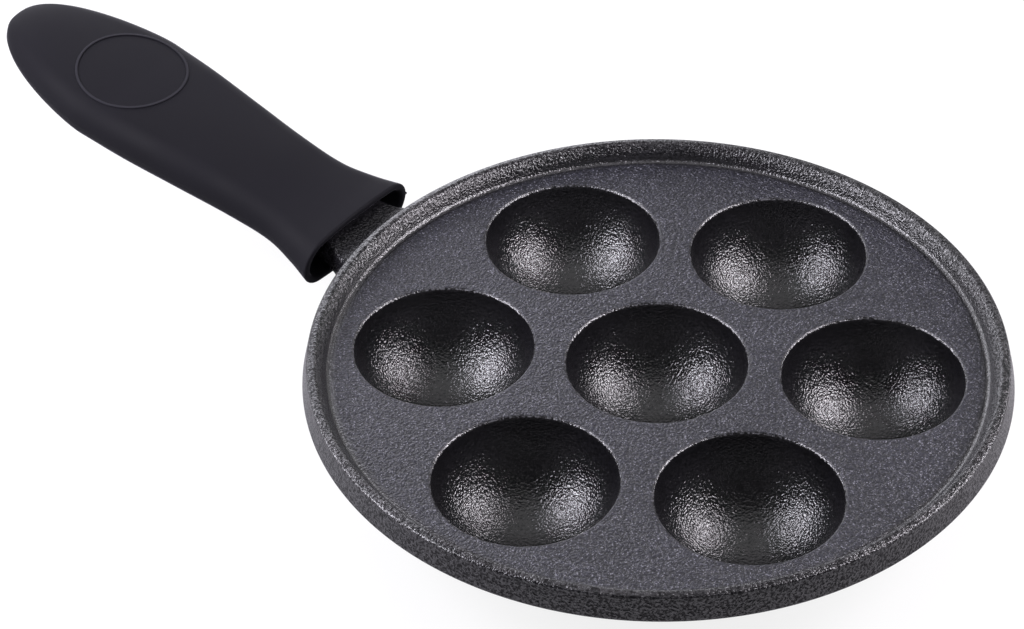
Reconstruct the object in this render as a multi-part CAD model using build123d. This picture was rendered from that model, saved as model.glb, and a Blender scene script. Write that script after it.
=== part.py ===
from build123d import *
import math
import os

# Seven-cup aebleskiver pan: a one-piece iron casting with a silicone sleeve pushed over its handle.
# Millimetres and degrees. The origin lies on the resting plane under the middle of the centre cup,
# +Z is up, and the handle leaves the rim along -X, rising as it goes.

# Cooking plate and the raised rim round it. The rim's top slopes a little outwards from an inner
# crest, and its inner wall leans back above a shoulder
plate_thickness = 3.5
rim_height = 5.4
rim_crest_rise = 0.65
rim_top_width = 2.7
rim_shoulder_height = 3.0
rim_outer_draft_angle = 12.8
rim_inner_draft_angle = 20.0
rim_chamfer_angle = 40.0
rim_inner_fillet = 1.6
rim_shoulder_round = 9.0
rim_inner_edge_round = 1.8
rim_outer_edge_round = 1.0
rim_foot_round = 1.0

# Half-ball cups: one in the middle and a ring of six round it, with flat plate between their edges
cup_ring_count = 6
first_cup_angle = 30.0
cup_radius = 29.4
cup_wall = 3.2
cup_edge_round = 1.2
cup_gap = 8.8
cup_to_rim_foot = 15.0
cup_root_fillet = 1.8
foot_flat_diameter = 14.0

# Handle, cast in one with the pan; its axis starts at the foot of the rim wall, and its neck flares
# out to the rim
handle_axis_drop = 9.19
handle_rise_angle = 9.15
handle_length = 159.3
handle_neck_width = 30.0
handle_paddle_width = 34.0
handle_neck_thickness = 10.4
handle_tip_thickness = 8.0
handle_edge_round = 2.0
handle_rim_bite = 2.5
root_width = 44.0
root_flare_length = 18.0
root_ramp_length = 9.0
root_ramp_height = 9.0
hang_hole_width = 12.0
hang_hole_length = 22.0
hang_hole_edge_round = 1.0
hang_hole_inset = 12.0

# Gusset that carries the handle's root into the underside of the plate, as wide as the flared root
gusset_reach = 24.0

# Silicone sleeve: a flared mouth, a waist, a full grip and a rounded blind tip. The two rooms are the
# air at the waist beside and above the handle, which has to pass there when the sleeve is pulled off
sleeve_gap = 12.4
sleeve_tip_wall = 14.6
sleeve_wall = 2.8
sleeve_side_room = 1.5
sleeve_top_room = 1.2
sleeve_lip_round = 1.0
sleeve_waist_shares = (0.795, 0.94)
sleeve_grip_share = 0.66
sleeve_thin_share = 0.61
sleeve_tip_share = 0.993
# Shares of the sleeve's length, width and thickness, from the mouth to the fullest part of the grip
sleeve_body_shares = [
    (0.00, 1.019, 1.12),
    (0.06, 0.903, 0.99),
    (0.14, *sleeve_waist_shares),
    (0.25, 0.803, 0.99),
    (0.40, 0.885, 1.02),
    (0.54, 0.965, 1.02),
    (0.66, 1.000, 1.00),
]
# Places of the tip's sections, as shares of the run from the fullest part to the end
tip_section_shares = [0.20, 0.40, 0.58, 0.74, 0.87, 0.95]
tip_width_power_shares = (1.42, 2.28)
tip_thickness_power_shares = (3.74, 2.75)
side_round_share = 0.90

# Ring moulded on the sleeve's top face
ring_diameter = 40.4
ring_width = 1.3
ring_height = 0.4
ring_centre_share = 0.652

# Grip ribs moulded inside the sleeve, which touch the handle's two broad faces
rib_width = 2.6
rib_spacing = 20.0
rib_start_share = 0.10
rib_end_share = 0.90
handle_clearance = 0.3

# Cuts run this far past the faces that they open
overrun = 2.0

# Sizes and places that follow from the ones above
cup_mouth_radius = cup_radius + cup_edge_round
cup_ring_radius = 2 * cup_mouth_radius + cup_gap
foot_radius = cup_ring_radius + cup_mouth_radius + cup_to_rim_foot
dome_radius = cup_radius + cup_wall
foot_flat_radius = foot_flat_diameter / 2
ball_height = math.sqrt(dome_radius ** 2 - foot_flat_radius ** 2)
plate_top = ball_height + cup_edge_round
plate_underside = plate_top - plate_thickness
rise = math.radians(handle_rise_angle)
cavity_length = handle_length + handle_clearance - sleeve_gap
sleeve_length = cavity_length + sleeve_tip_wall
sleeve_width = (handle_paddle_width + 2 * (sleeve_wall + sleeve_side_room)) / sleeve_waist_shares[0]
sleeve_thickness = (handle_neck_thickness + 2 * (sleeve_wall + sleeve_top_room)) / sleeve_waist_shares[1]

# Handle frame: X runs out along the handle's axis, Z stands on its broad face
handle_plane = Plane(
    origin=(-foot_radius, 0, plate_top - handle_axis_drop),
    x_dir=(-math.cos(rise), 0, math.sin(rise)),
    z_dir=(math.sin(rise), 0, math.cos(rise)),
)
side_plane = Plane(handle_plane.origin, x_dir=handle_plane.x_dir, z_dir=-handle_plane.y_dir)


def corner_round(face, corner, radius):
    """Round the corner of a flat face that lies nearest to a point."""
    nearest = face.vertices().sort_by_distance(Vector(*corner))[0]
    return fillet(nearest, radius)


def dish():
    """The flat plate with its drafted rim, turned about the pan's axis."""
    wall_height = rim_height + plate_thickness
    rim_crest = rim_height + rim_crest_rise
    outer_top = foot_radius - wall_height * math.tan(math.radians(rim_outer_draft_angle))
    inner_top = outer_top - rim_top_width
    lean_height = rim_crest - rim_shoulder_height
    shoulder = inner_top - lean_height * math.tan(math.radians(rim_chamfer_angle))
    inner_foot = shoulder - rim_shoulder_height * math.tan(math.radians(rim_inner_draft_angle))
    corners = [
        (0, plate_underside),
        (foot_radius, plate_underside),
        (outer_top, plate_top + rim_height),
        (inner_top, plate_top + rim_crest),
        (shoulder, plate_top + rim_shoulder_height),
        (inner_foot, plate_top),
        (0, plate_top),
    ]
    profile = make_face(Polyline(*corners, close=True))
    profile = corner_round(profile, corners[1], rim_foot_round)
    profile = corner_round(profile, corners[2], rim_outer_edge_round)
    profile = corner_round(profile, corners[3], rim_inner_edge_round)
    profile = corner_round(profile, corners[4], rim_shoulder_round)
    profile = corner_round(profile, corners[5], rim_inner_fillet)
    return revolve(Plane.XZ * profile, Axis.Z)


def dome():
    """The outside of one cup: a ball with a small resting flat and a fillet up to the plate."""
    fillet_height = plate_underside - cup_root_fillet
    below_centre = ball_height - fillet_height
    reach = dome_radius + cup_root_fillet
    fillet_out = math.sqrt(reach ** 2 - below_centre ** 2)
    meet_angle = math.degrees(math.atan2(-below_centre, fillet_out))
    flat_angle = math.degrees(math.atan2(-ball_height, foot_flat_radius))
    ball = CenterArc((0, ball_height), dome_radius, flat_angle, meet_angle - flat_angle)
    fillet_turn = 180 + meet_angle - 90
    skirt = CenterArc((fillet_out, fillet_height), cup_root_fillet, 180 + meet_angle, -fillet_turn)
    mid_plate = plate_underside + plate_thickness / 2
    outline = [
        Line((0, 0), ball @ 0),
        ball,
        skirt,
        Line(skirt @ 1, (fillet_out, mid_plate)),
        Line((fillet_out, mid_plate), (0, mid_plate)),
        Line((0, mid_plate), (0, 0)),
    ]
    return revolve(Plane.XZ * make_face(outline), Axis.Z)


def cup_space():
    """The space inside one cup, flared at the top by the rounding of the cup's edge."""
    ball = CenterArc((0, ball_height), cup_radius, -90, 90)
    edge = CenterArc((cup_mouth_radius, ball_height), cup_edge_round, 180, -90)
    mouth_top = plate_top + overrun
    outline = [
        ball,
        edge,
        Line(edge @ 1, (cup_mouth_radius, mouth_top)),
        Line((cup_mouth_radius, mouth_top), (0, mouth_top)),
        Line((0, mouth_top), ball @ 0),
    ]
    return revolve(Plane.XZ * make_face(outline), Axis.Z)


def cup_places():
    """The middle of each cup on the plan, the centre cup first."""
    ring = PolarLocations(cup_ring_radius, cup_ring_count, start_angle=first_cup_angle)
    return [Pos(0, 0, 0)] + [Pos(place.position) for place in ring]


def handle_plan():
    """Outline of the handle: a flared root, a bar that widens a little and a half-circle end."""
    half_neck = handle_neck_width / 2
    half_end = handle_paddle_width / 2
    half_root = root_width / 2
    centre = handle_length - half_end
    span = centre - root_flare_length
    lean = math.asin(half_end / math.hypot(span, half_neck)) - math.atan2(half_neck, span)
    touch = (centre - half_end * math.sin(lean), half_end * math.cos(lean))
    neck_start = (root_flare_length, half_neck)
    flare = TangentArc(neck_start, (0, half_root), tangent=(-1, 0))
    side = [Line(touch, neck_start), flare, Line((0, half_root), (-2 * handle_rim_bite, half_root))]
    end = ThreePointArc((touch[0], -touch[1]), (handle_length, 0), touch)
    back = Line((-2 * handle_rim_bite, half_root), (-2 * handle_rim_bite, -half_root))
    return make_face([end, *side, back, *[mirror(line, Plane.XZ) for line in side]])


def handle_bar():
    """The cast handle: a tapering bar with rounded edges that ramps up into the rim wall."""
    plan = handle_plan()
    deep = handle_neck_thickness + root_ramp_height
    bar = extrude(handle_plane * plan, deep, both=True)
    neck = handle_neck_thickness / 2
    tip = handle_tip_thickness / 2
    thinning = (neck - tip) / handle_length
    ramp_foot = (root_ramp_length, neck - thinning * root_ramp_length)
    ramp_head = (-handle_rim_bite, root_ramp_height)
    ramp = TangentArc(ramp_foot, ramp_head, tangent=(-1, thinning))
    end = handle_length + overrun
    end_half = tip - thinning * overrun
    back = -2 * handle_rim_bite
    side = make_face([
        ramp,
        Line(ramp_head, (back, root_ramp_height)),
        Line((back, root_ramp_height), (back, -neck)),
        Line((back, -neck), (end, -end_half)),
        Line((end, -end_half), (end, end_half)),
        Line((end, end_half), ramp_foot),
    ])
    bar = bar & extrude(side_plane * side, root_width, both=True)
    in_frame = [(edge, handle_plane.to_local_coords(edge)) for edge in bar.edges()]
    least_run = root_ramp_length / 2
    long_edges = [
        edge for edge, local in in_frame
        if local.bounding_box().size.X > least_run and local.center().X > 0
    ]
    bar = fillet(long_edges, handle_edge_round)
    hole_middle = handle_length - hang_hole_inset - hang_hole_length / 2
    slot = handle_plane * Pos(hole_middle, 0, 0) * SlotOverall(hang_hole_length, hang_hole_width)
    bar -= extrude(slot, deep, both=True)
    hole_edges = [
        edge for edge in bar.edges()
        if (handle_plane.to_local_coords(edge).center() - Vector(hole_middle, 0, 0)).length
        < hang_hole_length / 2 and edge.length > handle_tip_thickness
    ]
    return fillet(hole_edges, hang_hole_edge_round)


def gusset():
    """The web under the rim that takes the handle's load, as wide as the handle's root."""
    neck = handle_neck_thickness / 2
    low = plate_top - handle_axis_drop - neck / math.cos(rise)
    mid_plate = plate_underside + plate_thickness / 2
    wedge = make_face(Polyline(
        (-foot_radius, low), (-foot_radius, mid_plate),
        (-foot_radius + gusset_reach, mid_plate), (-foot_radius + gusset_reach, plate_underside),
        close=True,
    ))
    web = extrude(Plane.XZ * wedge, root_width / 2, both=True)
    inside_foot = Cylinder(foot_radius - rim_foot_round, 2 * plate_top)
    return web & inside_foot


def sleeve_size(share):
    """Half width and half thickness of the sleeve's outside in the tip, at a share of its length."""
    across, along = tip_width_power_shares
    run = max(share - sleeve_grip_share, 0) / (1 - sleeve_grip_share)
    width = (1 - run ** across) ** (1 / along)
    across, along = tip_thickness_power_shares
    run = max(share - sleeve_thin_share, 0) / (1 - sleeve_thin_share)
    thickness = (1 - run ** across) ** (1 / along)
    return sleeve_width / 2 * width, sleeve_thickness / 2 * thickness


def sleeve_stations(end_share):
    """Length share, half width and half thickness of each section up to an end share."""
    rows = [
        (share, sleeve_width / 2 * width, sleeve_thickness / 2 * thick)
        for share, width, thick in sleeve_body_shares
    ]
    for step in tip_section_shares:
        share = sleeve_grip_share + step * (1 - sleeve_grip_share)
        if share < end_share:
            rows.append((share, *sleeve_size(share)))
    rows.append((end_share, *sleeve_size(end_share)))
    return rows


def sleeve_section(along, half_width, half_thickness):
    """One section of the sleeve: crowned top and bottom with rounder sides, all in tangent arcs."""
    side = side_round_share * half_thickness
    crown_span = half_width - side
    crown = (crown_span ** 2 + half_thickness ** 2 - side ** 2) / (2 * (half_thickness - side))
    turn = math.atan2(crown - half_thickness, crown_span)
    y = crown_span + side * math.cos(turn)
    z = side * math.sin(turn)
    outline = make_face([
        ThreePointArc((y, -z), (half_width, 0), (y, z)),
        ThreePointArc((y, z), (0, half_thickness), (-y, z)),
        ThreePointArc((-y, z), (-half_width, 0), (-y, -z)),
        ThreePointArc((-y, -z), (0, -half_thickness), (y, -z)),
    ])
    origin = handle_plane.from_local_coords((along, 0, 0))
    return Plane(origin, x_dir=handle_plane.y_dir, z_dir=handle_plane.x_dir) * outline


def sleeve_form(end_share, inset=0.0, raised=0.0, mouth_run=0.0):
    """A smooth body through the sleeve's sections, drawn in by a wall or thickened by a raised mark."""
    rows = sleeve_stations(end_share)
    sections = []
    for share, half_width, half_thickness in rows:
        along = sleeve_gap + share * sleeve_length
        sections.append(sleeve_section(along, half_width - inset, half_thickness - inset + raised))
    body = loft(sections)
    if mouth_run:
        body += extrude(sections[0], -mouth_run)
    return body


def grip_ribs(outside):
    """Ribs along the inside of the sleeve, from its wall to just clear of the handle."""
    start = sleeve_gap + rib_start_share * sleeve_length
    end = sleeve_gap + rib_end_share * sleeve_length
    thinning = (handle_neck_thickness - handle_tip_thickness) / 2 / handle_length
    crest = [
        handle_neck_thickness / 2 - thinning * along + handle_clearance
        for along in (start, end)
    ]
    buried = sleeve_thickness / 2 - sleeve_wall / 2
    side = make_face(Polyline((start, crest[0]), (end, crest[1]), (end, buried), (start, buried), close=True))
    ribs = []
    for flip in (1, -1):
        strip = side if flip == 1 else mirror(side, Plane.XZ)
        for offset in (rib_spacing / 2, -rib_spacing / 2):
            place = Plane(
                handle_plane.from_local_coords((0, offset, 0)),
                x_dir=side_plane.x_dir, z_dir=side_plane.z_dir,
            )
            ribs.append(extrude(place * strip, rib_width / 2, both=True) & outside)
    return ribs


def sleeve():
    """The silicone sleeve, with its blind cavity, grip ribs and the plain ring on its top face."""
    outside = sleeve_form(sleeve_tip_share)
    cavity = sleeve_form(cavity_length / sleeve_length, inset=sleeve_wall, mouth_run=overrun)
    shell = outside - cavity
    lip_edges = [
        edge for edge in shell.edges()
        if abs(handle_plane.to_local_coords(edge).bounding_box().max.X - sleeve_gap) < sleeve_lip_round / 2
    ]
    shell = fillet(lip_edges, sleeve_lip_round)
    ring_middle = sleeve_gap + ring_centre_share * sleeve_length
    ring_plan = Circle(ring_diameter / 2) - Circle(ring_diameter / 2 - ring_width)
    ring_post = extrude(handle_plane * Pos(ring_middle, 0, 0) * ring_plan, sleeve_thickness)
    ring = ring_post & (sleeve_form(sleeve_tip_share, raised=ring_height) - cavity)
    ring -= handle_plane * Pos(ring_middle, 0, 0) * Cylinder(ring_diameter, sleeve_wall)
    body = shell + ring
    for rib in grip_ribs(outside):
        body += rib
    return body


def cast_pan():
    """Plate, rim, cups, handle and gusset as the one casting that they are."""
    body = dish()
    for place in cup_places():
        body += place * dome()
    body += handle_bar()
    body += gusset()
    for place in cup_places():
        body -= place * cup_space()
    return body


if __name__ == "__main__":
    os.makedirs("parts", exist_ok=True)
    export_step(cast_pan(), "parts/cast_pan.step")
    export_step(sleeve(), "parts/handle_sleeve.step")
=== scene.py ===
import math

import bmesh
import bpy
from mathutils import Matrix, Vector


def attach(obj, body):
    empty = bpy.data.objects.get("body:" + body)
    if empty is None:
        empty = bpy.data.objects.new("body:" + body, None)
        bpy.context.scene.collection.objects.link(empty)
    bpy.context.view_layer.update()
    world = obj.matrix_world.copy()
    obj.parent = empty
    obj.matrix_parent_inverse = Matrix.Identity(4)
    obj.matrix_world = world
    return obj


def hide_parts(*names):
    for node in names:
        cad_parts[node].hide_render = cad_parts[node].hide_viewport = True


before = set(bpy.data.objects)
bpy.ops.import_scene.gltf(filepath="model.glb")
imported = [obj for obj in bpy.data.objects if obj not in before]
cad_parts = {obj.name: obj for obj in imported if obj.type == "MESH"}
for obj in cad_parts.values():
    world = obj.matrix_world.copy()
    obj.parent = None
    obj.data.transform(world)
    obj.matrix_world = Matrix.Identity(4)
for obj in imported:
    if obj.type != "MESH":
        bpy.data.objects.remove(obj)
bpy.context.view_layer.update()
scene = bpy.context.scene
scene.view_settings.view_transform = "Standard"

# Camera: a long lens about a metre from the pan, high on the side of the cups that is away from the
# handle. Its height, turn and tilt come from the round edges of the cups and the rim.
camera_place = Vector((0.4516, -0.6339, 0.7033))
camera_azimuth = 38.900
camera_elevation = 39.864
camera_roll = -1.626
camera_data = bpy.data.cameras.new("camera")
camera_data.sensor_width = 36.0
camera_data.lens = 111.07
camera_data.clip_start = 0.05
camera = bpy.data.objects.new("camera", camera_data)
scene.collection.objects.link(camera)
camera.matrix_world = (
    Matrix.Translation(camera_place)
    @ Matrix.Rotation(math.radians(camera_azimuth), 4, "Z")
    @ Matrix.Rotation(math.radians(90 - camera_elevation), 4, "X")
    @ Matrix.Rotation(math.radians(camera_roll), 4, "Z")
)
scene.camera = camera

# Studio lamps: one softbox close on each side of the pan, the right one a little warmer. Each cup
# shows both, as two soft highlights side by side. A third stands low at the back and catches the cast
# grain, and a wide one overhead lifts the flat faces.
lamp_target = Vector((0, 0, 0.033))
lamp_distance = 0.62
side_lamp_size = 0.32
side_lamp_power = 5.6
across = Vector((math.cos(math.radians(camera_azimuth)), math.sin(math.radians(camera_azimuth)), 0))
away = Vector((-across.y, across.x, 0))
upright = Vector((0, 0, 1))


def softbox(name, right, back, high, size, power, colour):
    """A square lamp that faces the pan from a direction given as the camera sees it."""
    data = bpy.data.lights.new(name, "AREA")
    data.shape = "SQUARE"
    data.size = size
    data.energy = power
    data.color = colour
    lamp = bpy.data.objects.new(name, data)
    scene.collection.objects.link(lamp)
    towards = (across * right + away * back + upright * high).normalized()
    lamp.location = lamp_target + towards * lamp_distance
    lamp.rotation_euler = towards.to_track_quat("Z", "Y").to_euler()


softbox(
    "lamp_right", right=0.835, back=0.0, high=0.550,
    size=side_lamp_size, power=side_lamp_power, colour=(0.980, 0.930, 1.0),
)
softbox(
    "lamp_left", right=-0.845, back=0.0, high=0.535,
    size=side_lamp_size, power=side_lamp_power, colour=(0.930, 0.905, 1.0),
)
softbox("lamp_back", right=-0.35, back=0.90, high=0.22, size=0.50, power=2.3, colour=(0.92, 0.91, 1.0))
softbox("lamp_top", right=0.0, back=0.02, high=1.0, size=0.80, power=1.35, colour=(0.98, 0.95, 1.0))

# Room: white to the camera. Reflections see a bright far wall that fades upwards to a dark ceiling, and
# a darker wall on the camera's side. The rest of the light is an even soft fill.
room_fill = 0.22
wall_foot = 0.10
wall_head = 0.70
ceiling_glow = 0.12
wall_turn = 0.50
near_wall_glow = 0.12
far_wall_glow = 0.90


def add(tree, kind, *feeds, **settings):
    """A shader node whose inputs take the feeds in order; gives its first output."""
    made = tree.nodes.new("ShaderNode" + kind)
    for name, value in settings.items():
        setattr(made, name, value)
    for socket, feed in zip(made.inputs, feeds):
        if isinstance(feed, bpy.types.NodeSocket):
            tree.links.new(feed, socket)
        elif feed is not None:
            socket.default_value = feed
    return made.outputs[0]


def calc(tree, operation, first, *others):
    """A Math node, or a row of them that takes in one more value each."""
    for other in others:
        first = add(tree, "Math", first, other, operation=operation)
    return first


def ramp(tree, value, start, end, low=0.0, high=1.0):
    """Goes smoothly from low to high as the value goes from start to end."""
    return add(tree, "MapRange", value, start, end, low, high, interpolation_type="SMOOTHSTEP")


room = bpy.data.worlds.new("room")
scene.world = room
room.use_nodes = True
tree = room.node_tree
tree.nodes.clear()
rays = tree.nodes.new("ShaderNodeLightPath")
toward = add(tree, "TexCoord").node.outputs["Generated"]
looking = add(tree, "SeparateXYZ", toward).node
wall_glow = ramp(tree, looking.outputs["Z"], wall_foot, wall_head, 1.0, ceiling_glow)
far_side = add(tree, "VectorMath", toward, away, operation="DOT_PRODUCT").node.outputs["Value"]
side_glow = ramp(tree, far_side, -wall_turn, wall_turn, near_wall_glow, far_wall_glow)
wall_glow = calc(tree, "MULTIPLY", wall_glow, side_glow)
mirrored = calc(tree, "MAXIMUM", rays.outputs["Is Glossy Ray"], rays.outputs["Is Transmission Ray"])
soft = add(tree, "Mix", mirrored, None, room_fill, wall_glow)
strength = add(tree, "Mix", rays.outputs["Is Camera Ray"], None, soft, 1.0)
backdrop = add(tree, "Background", (1.0, 1.0, 1.0, 1.0), strength)
tree.links.new(backdrop, tree.nodes.new("ShaderNodeOutputWorld").inputs["Surface"])

# Floor: a plain pale board that the pan stands on. It shows the pan's soft shadow, and is white where
# no shadow falls.
floor_half = 4.0
floor_grey = (0.44, 0.44, 0.445, 1.0)
floor_white = (0.90, 0.90, 0.90, 1.0)
floor_glow_share = 0.84


def blank_finish(name):
    """A material with no nodes yet; gives it and its node tree."""
    made = bpy.data.materials.new(name)
    made.use_nodes = True
    made.node_tree.nodes.clear()
    return made, made.node_tree


def show(tree, surface):
    """Make a shader the material's surface."""
    tree.links.new(surface, tree.nodes.new("ShaderNodeOutputMaterial").inputs["Surface"])


def blend(tree, share, first, second, kind="MIX"):
    """A colour mixed from two others. A colour's Mix node keeps them in its inputs 6 and 7."""
    made = tree.nodes.new("ShaderNodeMix")
    made.data_type = "RGBA"
    made.blend_type = kind
    for socket, feed in ((made.inputs[0], share), (made.inputs[6], first), (made.inputs[7], second)):
        if isinstance(feed, bpy.types.NodeSocket):
            tree.links.new(feed, socket)
        else:
            socket.default_value = feed
    return made.outputs[2]


bm = bmesh.new()
bmesh.ops.create_grid(bm, x_segments=1, y_segments=1, size=floor_half)
mesh = bpy.data.meshes.new("floor")
bm.to_mesh(mesh)
bm.free()
floor = bpy.data.objects.new("floor", mesh)
scene.collection.objects.link(floor)
floor_paint, tree = blank_finish("floor_paint")
rays = tree.nodes.new("ShaderNodeLightPath")
matte = add(tree, "BsdfDiffuse", blend(tree, rays.outputs["Is Camera Ray"], floor_grey, floor_white))
glow = add(tree, "Emission", (1.0, 1.0, 1.0, 1.0), 1.0)
share = calc(tree, "MULTIPLY", rays.outputs["Is Camera Ray"], floor_glow_share)
show(tree, add(tree, "MixShader", share, matte, glow))
mesh.materials.append(floor_paint)

# Cast grain, for both pieces: the pebbled skin that sand or a mould leaves, and slow clouds of
# slightly different tone.
pebble_roughness = 0.55
cloud_scale_share = 0.035
cloud_fineness = 3.0
cloud_roughness = 0.5

grain = bpy.data.node_groups.new("cast_grain", "ShaderNodeTree")
grain.interface.new_socket("Place", in_out="INPUT", socket_type="NodeSocketVector")
for name in ("Size", "Fineness"):
    grain.interface.new_socket(name, in_out="INPUT", socket_type="NodeSocketFloat")
for name in ("Height", "Cloud"):
    grain.interface.new_socket(name, in_out="OUTPUT", socket_type="NodeSocketFloat")
given = grain.nodes.new("NodeGroupInput").outputs
result = grain.nodes.new("NodeGroupOutput").inputs
per_metre = calc(grain, "DIVIDE", 1.0, given["Size"])
pebbles = add(grain, "TexNoise", given["Place"], None, per_metre, given["Fineness"], pebble_roughness)
cloud_scale = calc(grain, "MULTIPLY", per_metre, cloud_scale_share)
cloud = add(grain, "TexNoise", given["Place"], None, cloud_scale, cloud_fineness, cloud_roughness)
grain.links.new(pebbles, result["Height"])
grain.links.new(cloud, result["Cloud"])


def cast_grain(tree, place, size, fineness):
    """The grain at one size, in metres; gives its outputs, Height and Cloud."""
    made = tree.nodes.new("ShaderNodeGroup")
    made.node_tree = grain
    tree.links.new(place, made.inputs["Place"])
    made.inputs["Size"].default_value = size
    made.inputs["Fineness"].default_value = fineness
    return made.outputs


# Cast pan: one iron casting, seasoned black. A dish with a low drafted rim and seven half-ball cups is
# drawn as outlines turned about their axes, and the flat plate fills the space between them.
plate_top = 0.03304
plate_underside = 0.02954
foot_radius = 0.11557
rim_height = 0.0054
rim_crest_rise = 0.00065
rim_top_width = 0.0027
rim_shoulder_height = 0.0030
rim_outer_draft = math.radians(12.8)
rim_inner_draft = math.radians(20.0)
rim_chamfer = math.radians(40.0)
inner_fillet = 0.0016
shoulder_round = 0.0090
inner_edge_round = 0.0018
outer_edge_round = 0.0010
foot_round = 0.0010
plate_radius = 0.1046
under_radius = 0.1138
cup_ring_count = 6
first_cup_angle = 30.0
cup_ring_radius = 0.0700
cup_radius = 0.0294
cup_wall = 0.0032
cup_edge_round = 0.0012
cup_root_fillet = 0.0018
foot_flat_radius = 0.0070
edge_margin = 0.0004
ball_height = plate_top - cup_edge_round
mouth_radius = cup_radius + cup_edge_round
dome_radius = cup_radius + cup_wall

# Steps that each round shape is cut into, and the distance under which two points are the same.
rim_steps = 288
rim_corner_steps = 7
cup_steps = 96
cup_depth_steps = 30
dome_steps = 80
dome_depth_steps = 22
cup_edge_steps = 6
same_place = 1e-6


def points_of(parts):
    """The points among the parts that an operator gives back."""
    return [part for part in parts if isinstance(part, bmesh.types.BMVert)]


def edges_of(parts):
    """The edges among the parts that an operator gives back."""
    return [part for part in parts if isinstance(part, bmesh.types.BMEdge)]


def spun_arc(bm, start, middle, axis, angle, steps):
    """Turn one point round a middle, leaving an arc of short edges; gives the arc's last point."""
    made = bmesh.ops.spin(bm, geom=[start], cent=middle, axis=axis, angle=angle, steps=steps)
    return points_of(made["geom_last"])[0]


def turned(bm, steps):
    """Turn an upright outline a whole turn about the upright axis."""
    bmesh.ops.spin(
        bm, geom=list(bm.verts) + list(bm.edges), cent=(0, 0, 0), axis=upright,
        angle=2 * math.pi, steps=steps, use_merge=True,
    )


def round_off(bm, parts, width, steps, affect):
    """Round corners of an outline, or edges of a body."""
    bmesh.ops.bevel(
        bm, geom=parts, offset=width, offset_type="OFFSET", segments=steps, profile=0.5,
        affect=affect, material=-1,
    )


def set_out(bm, shape, places):
    """Put a copy of a shape at each place."""
    mesh = bpy.data.meshes.new("shape")
    shape.to_mesh(mesh)
    shape.free()
    for place in places:
        mesh.transform(Matrix.Translation(place))
        bm.from_mesh(mesh)
        mesh.transform(Matrix.Translation(-place))
    bpy.data.meshes.remove(mesh)


def fill_flat(bm, level, facing):
    """Close the flat region between the open loops at one level."""
    loops = [
        edge for edge in bm.edges
        if len(edge.link_faces) < 2 and all(abs(vert.co.z - level) < same_place for vert in edge.verts)
    ]
    bmesh.ops.triangle_fill(bm, edges=loops, use_beauty=True, normal=(0, 0, facing))


def chained(bm, places):
    """Points joined one to the next by edges."""
    chain = [bm.verts.new(place) for place in places]
    for first, second in zip(chain, chain[1:]):
        bm.edges.new((first, second))
    return chain


def as_object(bm, name):
    """A smooth-shaded object from a finished mesh."""
    bmesh.ops.triangulate(bm, faces=bm.faces)
    bmesh.ops.recalc_face_normals(bm, faces=bm.faces)
    for face in bm.faces:
        face.smooth = True
    mesh = bpy.data.meshes.new(name)
    bm.to_mesh(mesh)
    bm.free()
    made = bpy.data.objects.new(name, mesh)
    scene.collection.objects.link(made)
    return made


cup_places = [Vector((0, 0, 0))]
for number in range(cup_ring_count):
    turn = math.radians(first_cup_angle + 360 / cup_ring_count * number)
    cup_places.append(Vector((math.cos(turn), math.sin(turn), 0)) * cup_ring_radius)

bm = bmesh.new()
outer_top = foot_radius - (rim_height + plate_top - plate_underside) * math.tan(rim_outer_draft)
inner_top = outer_top - rim_top_width
rim_crest = rim_height + rim_crest_rise
shoulder = inner_top - (rim_crest - rim_shoulder_height) * math.tan(rim_chamfer)
chain = chained(bm, [
    (plate_radius, 0, plate_top),
    (shoulder - rim_shoulder_height * math.tan(rim_inner_draft), 0, plate_top),
    (shoulder, 0, plate_top + rim_shoulder_height),
    (inner_top, 0, plate_top + rim_crest),
    (outer_top, 0, plate_top + rim_height),
    (foot_radius, 0, plate_underside),
    (under_radius, 0, plate_underside),
])
bends = [
    (corner.co - before.co).angle(after.co - corner.co)
    for before, corner, after in zip(chain, chain[1:], chain[2:])
]
rim_rounds = (inner_fillet, shoulder_round, inner_edge_round, outer_edge_round, foot_round)
for corner, bend, radius in zip(chain[1:-1], bends, rim_rounds):
    round_off(bm, [corner], radius * math.tan(bend / 2), rim_corner_steps, "VERTICES")
turned(bm, rim_steps)

sideways = Vector((0, -1, 0))
cup = bmesh.new()
lip = chained(cup, [(mouth_radius + edge_margin, 0, plate_top), (mouth_radius, 0, plate_top)])[-1]
wall = spun_arc(cup, lip, (mouth_radius, 0, ball_height), sideways, math.pi / 2, cup_edge_steps)
spun_arc(cup, wall, (0, 0, ball_height), sideways, -math.pi / 2, cup_depth_steps)
turned(cup, cup_steps)
set_out(bm, cup, cup_places)
fill_flat(bm, plate_top, 1)

fillet_height = plate_underside - cup_root_fillet
fillet_out = math.sqrt((dome_radius + cup_root_fillet) ** 2 - (ball_height - fillet_height) ** 2)
meet_angle = math.atan2(fillet_height - ball_height, fillet_out)
flat_angle = math.atan2(-math.sqrt(dome_radius ** 2 - foot_flat_radius ** 2), foot_flat_radius)
fillet_turn = math.pi / 2 + meet_angle
dome = bmesh.new()
root = chained(dome, [(fillet_out + edge_margin, 0, plate_underside), (fillet_out, 0, plate_underside)])[-1]
side = spun_arc(dome, root, (fillet_out, 0, fillet_height), sideways, fillet_turn, cup_edge_steps)
foot = spun_arc(dome, side, (0, 0, ball_height), sideways, flat_angle - meet_angle, dome_depth_steps)
dome.edges.new((foot, dome.verts.new((0, 0, 0))))
turned(dome, dome_steps)
set_out(bm, dome, cup_places)
fill_flat(bm, plate_underside, -1)
bmesh.ops.remove_doubles(bm, verts=bm.verts, dist=same_place)
pan = as_object(bm, "cast_iron_pan")

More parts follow.
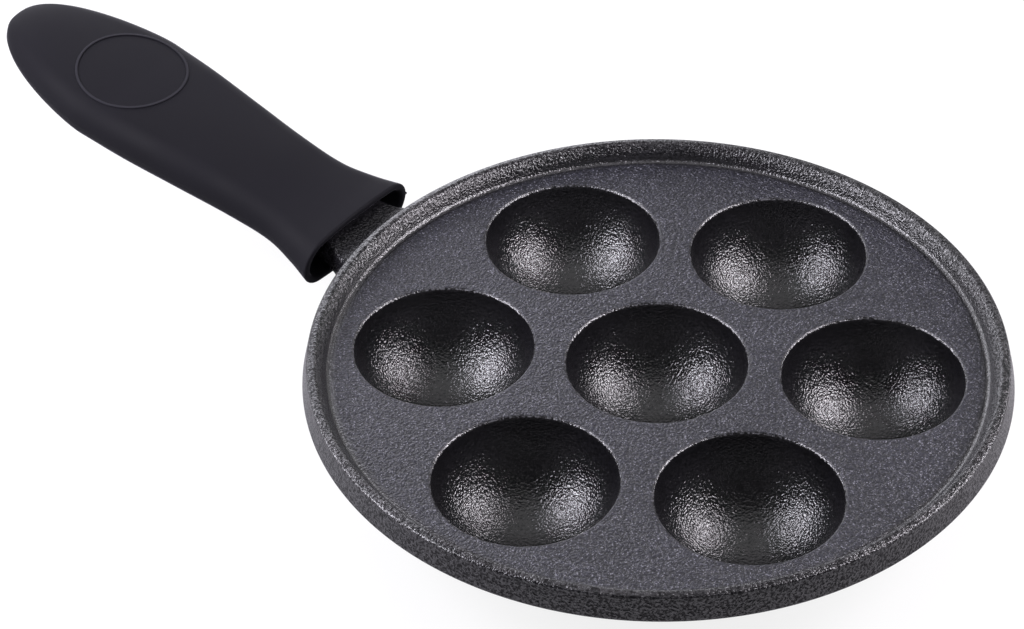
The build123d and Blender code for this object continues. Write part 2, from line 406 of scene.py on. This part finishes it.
# Its handle, cast in one with it: a bar with a flared root that ramps up into the rim wall, and a
# rounded end with a slot to hang it by. A web under the plate carries its root.
handle_rise = math.radians(9.15)
axis_drop = 0.00919
handle_length = 0.1593
neck_half = 0.0150
paddle_half = 0.0170
neck_half_thick = 0.0052
tip_half_thick = 0.0040
rim_bite = 0.0025
ramp_length = 0.0090
ramp_height = 0.0090
slot_from_end = 0.0230
slot_half_width = 0.0060
slot_half_straight = 0.0050
slot_margin = 0.0002
slot_middle = handle_length - slot_from_end
handle_edge_round = 0.0020
slot_edge_round = 0.0010
root_half = 0.0220
flare_length = 0.0180
gusset_reach = 0.0240
web_side_gap = 0.0001
web_sink = 0.0010
end_steps = 40
flare_steps = 8
slot_steps = 16
ramp_steps = 6
web_cuts = 15
edge_steps = 5
sharp_turn = 1.0
weld_distance = 2e-6
shading_corner = math.radians(35)
along_handle = Matrix((
    (-math.cos(handle_rise), 0, math.sin(handle_rise)),
    (0, -1, 0),
    (math.sin(handle_rise), 0, math.cos(handle_rise)),
)).transposed().to_4x4()
along_handle.translation = Vector((-foot_radius, 0, plate_top - axis_drop))


def bar_half_thick(along):
    """Half the bar's thickness."""
    return neck_half_thick - (neck_half_thick - tip_half_thick) * along / handle_length


def half_wide(along):
    """Half the bar's width."""
    if along >= flare_length:
        return neck_half + (paddle_half - neck_half) * (along - flare_length) / (tip_middle - flare_length)
    run = flare_length - max(along, 0)
    return neck_half + flare_bend - math.sqrt(flare_bend ** 2 - run ** 2)


def in_slot(edge):
    """Whether an edge lies at the hanging slot."""
    middle = (edge.verts[0].co + edge.verts[1].co) / 2
    slot_reach = slot_half_straight + slot_half_width + slot_margin
    return abs(middle.x - slot_middle) < slot_reach and abs(middle.y) < slot_half_width + slot_margin


def sharp_edges(bm, keep):
    """The sharp edges that pass a test."""
    return [edge for edge in bm.edges if edge.calc_face_angle(0) > sharp_turn and keep(edge)]


def made_one(body, parts):
    """Merge closed parts into a body, weld its doubled points and keep its real corners sharp."""
    for part in parts:
        join = body.modifiers.new("join_" + part.name, "BOOLEAN")
        join.operation = "UNION"
        join.solver = "EXACT"
        join.object = part
    bpy.context.view_layer.update()
    whole = bpy.data.meshes.new_from_object(body.evaluated_get(bpy.context.evaluated_depsgraph_get()))
    body.modifiers.clear()
    body.data = whole
    bm = bmesh.new()
    bm.from_mesh(whole)
    bmesh.ops.remove_doubles(bm, verts=bm.verts, dist=weld_distance)
    bm.to_mesh(whole)
    bm.free()
    for part in parts:
        bpy.data.objects.remove(part)
    whole.set_sharp_from_angle(angle=shading_corner)
    steady = body.modifiers.new("flat_faces_stay_flat", "WEIGHTED_NORMAL")
    steady.keep_sharp = True
    steady.weight = 100


tip_middle = handle_length - paddle_half
flare_bend = (flare_length ** 2 + (root_half - neck_half) ** 2) / (2 * (root_half - neck_half))
flare_turn = math.asin((flare_length - ramp_length) / flare_bend)
bm = bmesh.new()
start = bm.verts.new((tip_middle, -paddle_half, 0))
sides = [spun_arc(bm, start, (tip_middle, 0, 0), upright, math.pi, end_steps), start]
flare_ends = []
for side, way in zip(sides, (1, -1)):
    neck = bm.verts.new((flare_length, way * neck_half, 0))
    bm.edges.new((side, neck))
    bend_middle = (flare_length, way * (neck_half + flare_bend), 0)
    flare_ends.append(spun_arc(bm, neck, bend_middle, upright, -way * flare_turn, flare_steps))
root_edge = [bm.edges.new(flare_ends)]
slot_ends = []
for way in (1, -1):
    slot_end = slot_middle + way * slot_half_straight
    first = bm.verts.new((slot_end, -way * slot_half_width, 0))
    last = spun_arc(bm, first, (slot_end, 0, 0), upright, math.pi, slot_steps)
    slot_ends.append((first, last))
bm.edges.new((slot_ends[0][1], slot_ends[1][0]))
bm.edges.new((slot_ends[1][1], slot_ends[0][0]))
bmesh.ops.triangle_fill(bm, edges=bm.edges, use_beauty=True, normal=upright)
root_places = [ramp_length * (1 - step / ramp_steps) for step in range(1, ramp_steps + 1)]
for along in root_places + [-rim_bite / 2, -rim_bite, -2 * rim_bite]:
    root_edge = edges_of(bmesh.ops.extrude_edge_only(bm, edges=root_edge)["geom"])
    for vert in root_edge[0].verts:
        vert.co = Vector((along, math.copysign(half_wide(along), vert.co.y), 0))
bottom = list(bm.verts)
top = points_of(bmesh.ops.extrude_face_region(bm, geom=list(bm.faces))["geom"])
ramp_run = ramp_length + rim_bite
ramp_gain = ramp_height - bar_half_thick(ramp_length)
ramp_bend = (ramp_run ** 2 + ramp_gain ** 2) / (2 * ramp_gain)
for vert in top:
    run = min(max(ramp_length - vert.co.x, 0), ramp_run)
    bar_top = bar_half_thick(max(vert.co.x, ramp_length - run))
    vert.co.z = bar_top + ramp_bend - math.sqrt(ramp_bend ** 2 - run ** 2)
for vert in bottom:
    vert.co.z = -bar_half_thick(vert.co.x)
bmesh.ops.recalc_face_normals(bm, faces=bm.faces)
round_off(bm, sharp_edges(bm, in_slot), slot_edge_round, edge_steps, "EDGES")
outer_edges = sharp_edges(
    bm, lambda edge: not in_slot(edge) and min(vert.co.x for vert in edge.verts) > -same_place,
)
round_off(bm, outer_edges, handle_edge_round, edge_steps, "EDGES")
bmesh.ops.transform(bm, matrix=along_handle, verts=bm.verts)
bar = as_object(bm, "bar")

bm = bmesh.new()
web_low = plate_top - axis_drop - neck_half_thick / math.cos(handle_rise)
plate_middle = (plate_top + plate_underside) / 2
web_half = root_half - web_side_gap
web = chained(bm, [
    (-foot_radius, -web_half, web_low), (-foot_radius, -web_half, plate_middle),
    (gusset_reach - foot_radius, -web_half, plate_middle),
    (gusset_reach - foot_radius, -web_half, plate_underside),
])
other_side = points_of(bmesh.ops.extrude_face_region(bm, geom=[bm.faces.new(web)])["geom"])
bmesh.ops.translate(bm, verts=other_side, vec=(0, 2 * web_half, 0))
long_edges = [edge for edge in bm.edges if edge.calc_length() > 2 * web_half - same_place]
bmesh.ops.subdivide_edges(bm, edges=long_edges, cuts=web_cuts, use_grid_fill=True)
for vert in bm.verts:
    if vert.co.x < same_place - foot_radius:
        vert.co.x = -math.sqrt((foot_radius - web_sink) ** 2 - vert.co.y ** 2)
web = as_object(bm, "web")
made_one(pan, (bar, web))

# The iron's skin: the flat plate is ground and matte, lightly flecked with painted glints. The cups
# are glossy, with a fine orange-peel skin and a worn bare edge. The rim, handle and underside keep the
# coarse grain of the sand, which is rubbed smoother and brighter along the foot of the rim's inner wall.
plate_edge = 0.1051
plate_grey = (0.0115, 0.0115, 0.0168, 1.0)
# The cups are darker than the plate: partly their own black skin, partly painted shade in their hollows.
cup_black_and_shade = (0.0060, 0.0058, 0.0068, 1.0)
cast_black = (0.0085, 0.0082, 0.0096, 1.0)
# Light specks on the plate: painted glints.
painted_glint_grey = (0.110, 0.110, 0.130, 1.0)
bare_edge = (0.060, 0.060, 0.066, 1.0)
plate_grain = 0.0009
plate_fineness = 1.0
painted_glint_grain = 0.00045
painted_glint_fineness = 0.0
cup_grain = 0.00072
cup_fineness = 1.0
sand_grain = 0.0008
sand_fineness = 2.0
plate_relief = 0.75
cup_relief = 0.33
sand_relief = 0.44
foot_line_relief = 0.36
plate_roughness = 0.42
cup_roughness = 0.21
cast_roughness = 0.20
plate_glint = 0.42
cup_glint = 0.85
mean_glint = 0.60

# Where one finish ends and the next begins: heights, and distances from the pan's or a cup's middle.
top_starts = (plate_top - 0.0016, plate_top - 0.0009)
plate_ends = (plate_edge - 0.0008, plate_edge + 0.0012)
foot_line_starts = (0.1056, 0.1062)
foot_line_ends = (0.1078, 0.1084)
cup_skin_ends = (cup_radius + 0.0004, cup_radius + 0.0009)
cup_edge_starts = (cup_radius + 0.0001, cup_radius + 0.0003)
cup_edge_ends = (cup_radius + 0.0006, cup_radius + 0.0009)

# How the skin follows the grain: the grain's height or cloud where a change starts and ends, and then
# the lowest and the highest effect.
worn_in_grain = (0.40, 0.62)
painted_glint_in_grain = (0.69, 0.76)
shade_in_cloud = (0.25, 0.75, 0.86, 1.14)
shade_in_plate = (0.38, 0.62, 0.60, 1.40)
shade_in_sand = (0.35, 0.65, 0.50, 1.80)
glint_in_sand = (0.40, 0.60, 0.25, 1.0)


def band(tree, value, starts, ends):
    """A mask that comes up over one stretch of a value and goes down again over a later one."""
    return calc(tree, "MULTIPLY", ramp(tree, value, *starts), ramp(tree, value, *ends, 1.0, 0.0))


def on_skin(plate_value, cup_value, cast_value):
    """One value on the plate, another in the cups and a third on the rest of the casting."""
    values = ((on_plate, plate_value), (in_cup, cup_value), (elsewhere, cast_value))
    return calc(tree, "ADD", *(calc(tree, "MULTIPLY", mask, value) for mask, value in values))


def skin_shader(tree, colour, roughness, height):
    """A skin with relief, its height in millimetres, shown as the material's surface."""
    bump = tree.nodes.new("ShaderNodeBump")
    bump.inputs["Strength"].default_value = 1.0
    bump.inputs["Distance"].default_value = 0.001
    tree.links.new(height, bump.inputs["Height"])
    skin = tree.nodes.new("ShaderNodeBsdfPrincipled")
    tree.links.new(colour, skin.inputs["Base Color"])
    tree.links.new(roughness, skin.inputs["Roughness"])
    tree.links.new(bump.outputs["Normal"], skin.inputs["Normal"])
    show(tree, skin.outputs[0])
    return skin


def coat(piece, finish):
    """Give a piece its only material."""
    piece.data.materials.clear()
    piece.data.materials.append(finish)


iron, tree = blank_finish("seasoned_iron_skin")
spot = add(tree, "TexCoord").node.outputs["Object"]
split = add(tree, "SeparateXYZ", spot).node
flat = add(tree, "CombineXYZ", split.outputs["X"], split.outputs["Y"], 0.0)
from_middle = add(tree, "VectorMath", flat, operation="LENGTH").node.outputs["Value"]
reaches = []
for place in cup_places:
    middle = place + Vector((0, 0, ball_height))
    reaches.append(add(tree, "VectorMath", spot, middle, operation="DISTANCE").node.outputs["Value"])
nearest = calc(tree, "MINIMUM", *reaches)

in_cup = ramp(tree, nearest, *cup_skin_ends, 1.0, 0.0)
on_top = ramp(tree, split.outputs["Z"], *top_starts)
inside_rim = ramp(tree, from_middle, *plate_ends, 1.0, 0.0)
not_cup = calc(tree, "SUBTRACT", 1.0, in_cup)
on_plate = calc(tree, "MULTIPLY", on_top, inside_rim, not_cup)
elsewhere = calc(tree, "SUBTRACT", not_cup, on_plate)
foot_line = calc(tree, "MULTIPLY", band(tree, from_middle, foot_line_starts, foot_line_ends), on_top)
cup_edge = calc(tree, "MULTIPLY", band(tree, nearest, cup_edge_starts, cup_edge_ends), on_top)

plate_skin = cast_grain(tree, spot, plate_grain, plate_fineness)
plate_height = plate_skin["Height"]
painted_glint_height = cast_grain(tree, spot, painted_glint_grain, painted_glint_fineness)["Height"]
cup_height = cast_grain(tree, spot, cup_grain, cup_fineness)["Height"]
sand_height = cast_grain(tree, spot, sand_grain, sand_fineness)["Height"]

tone = blend(tree, on_plate, cast_black, plate_grey)
# Darker in the cups: partly their own black skin, partly painted shade in the hollows.
tone = blend(tree, in_cup, tone, cup_black_and_shade)
worn = calc(tree, "MULTIPLY", cup_edge, ramp(tree, plate_height, *worn_in_grain))
tone = blend(tree, worn, tone, bare_edge)
# The plate's light specks are painted glints, scattered evenly over it.
painted_glints = calc(tree, "MULTIPLY", on_plate, ramp(tree, painted_glint_height, *painted_glint_in_grain))
tone = blend(tree, painted_glints, tone, painted_glint_grey)
# Lighter on the high grains and darker in the low ones: partly the iron's own mottled tone, partly painted
# shade of the relief.
plate_shade = ramp(tree, plate_height, *shade_in_plate)
sand_shade = ramp(tree, sand_height, *shade_in_sand)
mottle_and_relief_shade = add(tree, "Mix", elsewhere, None, plate_shade, sand_shade)
shade = calc(tree, "MULTIPLY", ramp(tree, plate_skin["Cloud"], *shade_in_cloud), mottle_and_relief_shade)
tone = blend(tree, 1.0, tone, add(tree, "CombineColor", shade, shade, shade), "MULTIPLY")

cast_relief = ramp(tree, foot_line, 0.0, 1.0, sand_relief, foot_line_relief)
height = on_skin(
    calc(tree, "MULTIPLY", plate_height, plate_relief), calc(tree, "MULTIPLY", cup_height, cup_relief),
    calc(tree, "MULTIPLY", sand_height, cast_relief),
)
roughness = on_skin(plate_roughness, cup_roughness, cast_roughness)
skin = skin_shader(tree, tone, roughness, height)

# The high grains of the sand glint and the low ones don't. The glint has its own noise, with the same
# pebbles, and a viewer that takes only one value for it gets the mean.
sand = add(tree, "TexNoise", spot, None, 1 / sand_grain, sand_fineness, pebble_roughness)
glint = add(tree, "Mix", on_plate, None, cup_glint, plate_glint)
glint = add(tree, "Mix", elsewhere, None, glint, ramp(tree, sand, *glint_in_sand))
glint = add(tree, "Mix", foot_line, None, glint, 1.0)
skin.inputs["Specular IOR Level"].default_value = mean_glint
tree.links.new(glint, skin.inputs["Specular IOR Level"])
coat(pan, iron)
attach(pan, "pan")
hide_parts("cast_pan")

# Handle sleeve: black silicone, moulded in one with a flared mouth, a waist and a full grip, and
# pushed over the cast handle. It is drawn as one wall, pulled on from section to section over the
# outside, round the lip and back down the cavity. A fine bead on each side is the mould's seam.
mouth_gap = 0.0124
sleeve_length = 0.1618
sleeve_width = 0.0535849
sleeve_thickness = 0.01954
sleeve_wall = 0.0028
cavity_length = 0.1472
lip_round = 0.0010
seam_bead = 0.00018
cap_height = 0.0012
cap_shares = (1.00, 0.92, 0.78, 0.60, 0.35, 0.12)
side_round_share = 0.90
tip_share = 0.993

# Rows of place along the sleeve, width and thickness, as shares of the full sizes. Past the narrowing
# share the tip narrows and past the thinning share it thins, each on a rounded curve with two powers.
body_shares = [
    (0.00, 1.019, 1.12), (0.06, 0.903, 0.99), (0.14, 0.795, 0.94), (0.25, 0.803, 0.99),
    (0.40, 0.885, 1.02), (0.54, 0.965, 1.02), (0.66, 1.000, 1.00),
]
narrowing_share = 0.66
narrowing_powers = (1.33, 2.28)
narrowing_ease = 0.04
thinning_share = 0.61
thinning_powers = (3.74, 2.75)

# Steps that the sleeve is cut into, and the sine of the turn within which a point is on the side seam.
round_points = 120
side_points = 14
outside_steps = 96
outside_crowding = 1.6
bead_fade_steps = 8
lip_steps = 5
cavity_steps = 60
seam_sine = 0.001


def eased(share, column):
    """Smooth value between the rows of the body's shares."""
    rows = body_shares
    row = max(number for number in range(len(rows) - 1) if rows[number][0] <= max(share, 0))
    slopes = []
    for number in (row, row + 1):
        before, after = max(number - 1, 0), min(number + 1, len(rows) - 1)
        slopes.append((rows[after][column] - rows[before][column]) / (rows[after][0] - rows[before][0]))
    start, end = rows[row], rows[row + 1]
    run = end[0] - start[0]
    part = (share - start[0]) / run
    return (
        (2 * part ** 3 - 3 * part ** 2 + 1) * start[column]
        + (part ** 3 - 2 * part ** 2 + part) * run * slopes[0]
        + (3 * part ** 2 - 2 * part ** 3) * end[column]
        + (part ** 3 - part ** 2) * run * slopes[1]
    )


def rounded_end(run, first_power, second_power):
    """Falls from 1 to 0 on a rounded curve."""
    return (1 - run ** first_power) ** (1 / second_power)


def half_sizes(along):
    """Half width and half thickness of the sleeve's outside, at a distance from the rim's foot."""
    share = (along - mouth_gap) / sleeve_length
    if share < narrowing_share:
        width = eased(share, 1)
    else:
        run = math.hypot((share - narrowing_share) / (1 - narrowing_share), narrowing_ease) - narrowing_ease
        width = rounded_end(run / (math.hypot(1, narrowing_ease) - narrowing_ease), *narrowing_powers)
    if share < thinning_share:
        thickness = eased(share, 2)
    else:
        thickness = rounded_end((share - thinning_share) / (1 - thinning_share), *thinning_powers)
    return sleeve_width / 2 * width, sleeve_thickness / 2 * thickness


def section_arcs(half_width, half_thickness):
    """The section's side radius, how far out its middle lies, and the radius of its flatter arc."""
    side = side_round_share * half_thickness
    span = half_width - side
    crown = (span ** 2 + half_thickness ** 2 - side ** 2) / (2 * (half_thickness - side))
    return side, span, crown


def oval(turn, half_width, half_thickness):
    """Point of the sleeve's section, four tangent arcs, for a turn round a circle."""
    quarter = math.pi / 2
    side, span, crown = section_arcs(half_width, half_thickness)
    meet = math.atan2(crown - half_thickness, span)
    folded = abs(math.asin(math.sin(turn))) / quarter
    side_share = side_points / (round_points / 4)
    if folded <= side_share:
        lean = meet * folded / side_share
        y, z = span + side * math.cos(lean), side * math.sin(lean)
    else:
        lean = meet + (quarter - meet) * (folded - side_share) / (1 - side_share)
        y, z = crown * math.cos(lean), half_thickness - crown + crown * math.sin(lean)
    return math.copysign(y, math.cos(turn)), math.copysign(z, math.sin(turn))


def top_height(along, side):
    """Height of the sleeve's crowned top over the handle's axis."""
    half_width, half_thickness = half_sizes(along)
    crown = section_arcs(half_width, half_thickness)[2]
    return half_thickness - crown + math.sqrt(crown ** 2 - side ** 2)


def lay_section(verts, turns, along, inset, bead):
    """Lay a loop of points on the sleeve's section at one place along the handle."""
    half_width, half_thickness = half_sizes(along)
    for vert, turn in zip(verts, turns):
        y, z = oval(turn, half_width - inset, half_thickness - inset)
        if abs(math.sin(turn)) < seam_sine:
            y += math.copysign(bead, y)
        vert.co = Vector((along, y, z))


def pulled_on(bm, loop, edges):
    """Pull a new loop of points out of an open one; gives the points in the old order, and the edges."""
    made = bmesh.ops.extrude_edge_only(bm, edges=edges)["geom"]
    fresh = set(points_of(made))
    follow = [
        next(vert for vert in (edge.other_vert(old) for edge in old.link_edges) if vert in fresh)
        for old in loop
    ]
    return follow, edges_of(made)


grip_end = mouth_gap + tip_share * sleeve_length - cap_height
cavity_end = mouth_gap + cavity_length
stations = []
for step in range(outside_steps + 1):
    run = math.sin(math.pi / 2 * step / outside_steps) ** outside_crowding
    along = grip_end + (mouth_gap + lip_round - grip_end) * run
    stations.append((along, 0.0, seam_bead * min(1.0, step / bead_fade_steps)))
lip_turns = [math.pi / 2 * step / lip_steps for step in range(lip_steps + 1)]
for turn in lip_turns[1:]:
    along = mouth_gap + lip_round * (1 - math.sin(turn))
    stations.append((along, lip_round * (1 - math.cos(turn)), 0.0))
for turn in lip_turns:
    along = mouth_gap + lip_round * (1 - math.cos(turn))
    stations.append((along, sleeve_wall - lip_round * (1 - math.sin(turn)), 0.0))
for step in range(1, cavity_steps + 1):
    along = mouth_gap + lip_round + (cavity_end - mouth_gap - lip_round) * step / cavity_steps
    stations.append((along, sleeve_wall, 0.0))

bm = bmesh.new()
bmesh.ops.create_circle(bm, cap_ends=False, segments=round_points, radius=1.0)
loop = list(bm.verts)
turns = [math.atan2(vert.co.y, vert.co.x) for vert in loop]
lay_section(loop, turns, *stations[0])
first_edges = edges = list(bm.edges)
for station in stations[1:]:
    loop, edges = pulled_on(bm, loop, edges)
    lay_section(loop, turns, *station)
for open_edges in (first_edges, edges):
    loop = list({vert: None for edge in open_edges for vert in edge.verts})
    for before, share in zip(cap_shares, cap_shares[1:]):
        loop, open_edges = pulled_on(bm, loop, open_edges)
        push = cap_height * (math.sqrt(1 - share ** 2) - math.sqrt(1 - before ** 2))
        shrink = share / before
        for vert in loop:
            vert.co = Vector((vert.co.x + push, vert.co.y * shrink, vert.co.z * shrink))
    bmesh.ops.edgeloop_fill(bm, edges=open_edges)
bmesh.ops.transform(bm, matrix=along_handle, verts=bm.verts)
grip = as_object(bm, "handle_grip")

# Moulded on the sleeve: the plain ring on its top, four ribs inside that hold the handle, and a small
# flash at the mouth where the mould closed. All are the same silicone, in one with the wall.
ring_share = 0.652
ring_middle = mouth_gap + ring_share * sleeve_length
ring_outer_radius = 0.0202
ring_inner_radius = 0.0191
ring_raise = 0.00039
ring_root = 0.0003
ring_round = 0.00030
ring_round_steps = 5
ring_steps = 180
rib_offset = 0.0100
rib_half_width = 0.0013
rib_start_share = 0.10
rib_end_share = 0.90
rib_start = mouth_gap + rib_start_share * sleeve_length
rib_end = mouth_gap + rib_end_share * sleeve_length
rib_clearance = 0.0003
rib_round = 0.0004
rib_round_steps = 3
rib_steps = 40
flash_size = (0.0008, 0.0016, 0.0008)
flash_setback = 0.0009
flash_round = 0.00020
flash_round_steps = 2

bm = bmesh.new()
chain = chained(bm, [
    (ring_inner_radius, 0, -ring_root), (ring_inner_radius, 0, ring_raise),
    (ring_outer_radius, 0, ring_raise), (ring_outer_radius, 0, -ring_root),
])
bm.edges.new((chain[-1], chain[0]))
round_off(bm, chain[1:3], ring_round, ring_round_steps, "VERTICES")
turned(bm, ring_steps)
for vert in bm.verts:
    along = ring_middle + vert.co.x
    vert.co = Vector((along, vert.co.y, vert.co.z + top_height(along, vert.co.y)))
bmesh.ops.transform(bm, matrix=along_handle, verts=bm.verts)
raised_parts = [as_object(bm, "top_ring")]

for number, (side, way) in enumerate(((1, 1), (-1, 1), (1, -1), (-1, -1))):
    bm = bmesh.new()
    bmesh.ops.create_grid(bm, x_segments=rib_steps, y_segments=1, size=1.0)
    buried = set(points_of(bmesh.ops.extrude_face_region(bm, geom=list(bm.faces))["geom"]))
    for vert in bm.verts:
        along = rib_start + (rib_end - rib_start) * (vert.co.x + 1) / 2
        across_rib = side * rib_offset + vert.co.y * rib_half_width
        crest = bar_half_thick(along) + rib_clearance
        level = top_height(along, across_rib) - sleeve_wall / 2 if vert in buried else crest
        vert.co = Vector((along, across_rib, way * level))
    crest_edges = sharp_edges(bm, lambda edge: not buried & set(edge.verts))
    round_off(bm, crest_edges, rib_round, rib_round_steps, "EDGES")
    bmesh.ops.transform(bm, matrix=along_handle, verts=bm.verts)
    raised_parts.append(as_object(bm, "grip_rib_" + str(number)))

bm = bmesh.new()
bmesh.ops.create_cube(bm, size=1.0)
bmesh.ops.scale(bm, vec=flash_size, verts=bm.verts)
round_off(bm, bm.edges, flash_round, flash_round_steps, "EDGES")
flash_place = (mouth_gap + flash_setback, -half_sizes(mouth_gap)[0], 0)
bmesh.ops.translate(bm, verts=bm.verts, vec=flash_place)
bmesh.ops.transform(bm, matrix=along_handle, verts=bm.verts)
raised_parts.append(as_object(bm, "mould_flash"))
made_one(grip, raised_parts)

# The silicone's skin: matte black with a soft sheen, a very fine grain and faint clouds of tone. The
# ring's crest is a little paler.
silicone_black = (0.0052, 0.0049, 0.0070, 1.0)
silicone_cloudy = (0.0062, 0.0059, 0.0083, 1.0)
ring_paler = (0.0170, 0.0165, 0.0210, 1.0)
mould_grain = 0.0009
mould_fineness = 2.0
mould_relief = 0.006
clouds = (0.3, 0.7)
roughness_in_cloud = (0.66, 0.74)
ring_starts = (ring_inner_radius, ring_inner_radius + 0.0004)
ring_ends = (ring_outer_radius - 0.0003, ring_outer_radius + 0.0001)
ring_spot = along_handle @ Vector((ring_middle, 0, sleeve_thickness / 2))
sleeve_up = along_handle.to_3x3() @ upright
ring_level = ring_spot.dot(sleeve_up)
ring_side_starts = (ring_level - 0.006, ring_level - 0.005)

silicone, tree = blank_finish("silicone_skin")
spot = add(tree, "TexCoord").node.outputs["Object"]
mould_skin = cast_grain(tree, spot, mould_grain, mould_fineness)
from_ring = add(tree, "VectorMath", spot, ring_spot, operation="DISTANCE").node.outputs["Value"]
level = add(tree, "VectorMath", spot, sleeve_up, operation="DOT_PRODUCT").node.outputs["Value"]
on_ring = calc(
    tree, "MULTIPLY", band(tree, from_ring, ring_starts, ring_ends), ramp(tree, level, *ring_side_starts),
)
tone = blend(tree, ramp(tree, mould_skin["Cloud"], *clouds), silicone_black, silicone_cloudy)
tone = blend(tree, on_ring, tone, ring_paler)
roughness = ramp(tree, mould_skin["Cloud"], *clouds, *roughness_in_cloud)
skin = skin_shader(tree, tone, roughness, calc(tree, "MULTIPLY", mould_skin["Height"], mould_relief))
skin.inputs["Specular IOR Level"].default_value = 0.11
skin.inputs["Sheen Weight"].default_value = 0.30
skin.inputs["Sheen Roughness"].default_value = 0.18
skin.inputs["Sheen Tint"].default_value = (0.90, 0.88, 1.0, 1.0)
coat(grip, silicone)
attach(grip, "sleeve")
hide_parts("handle_sleeve")
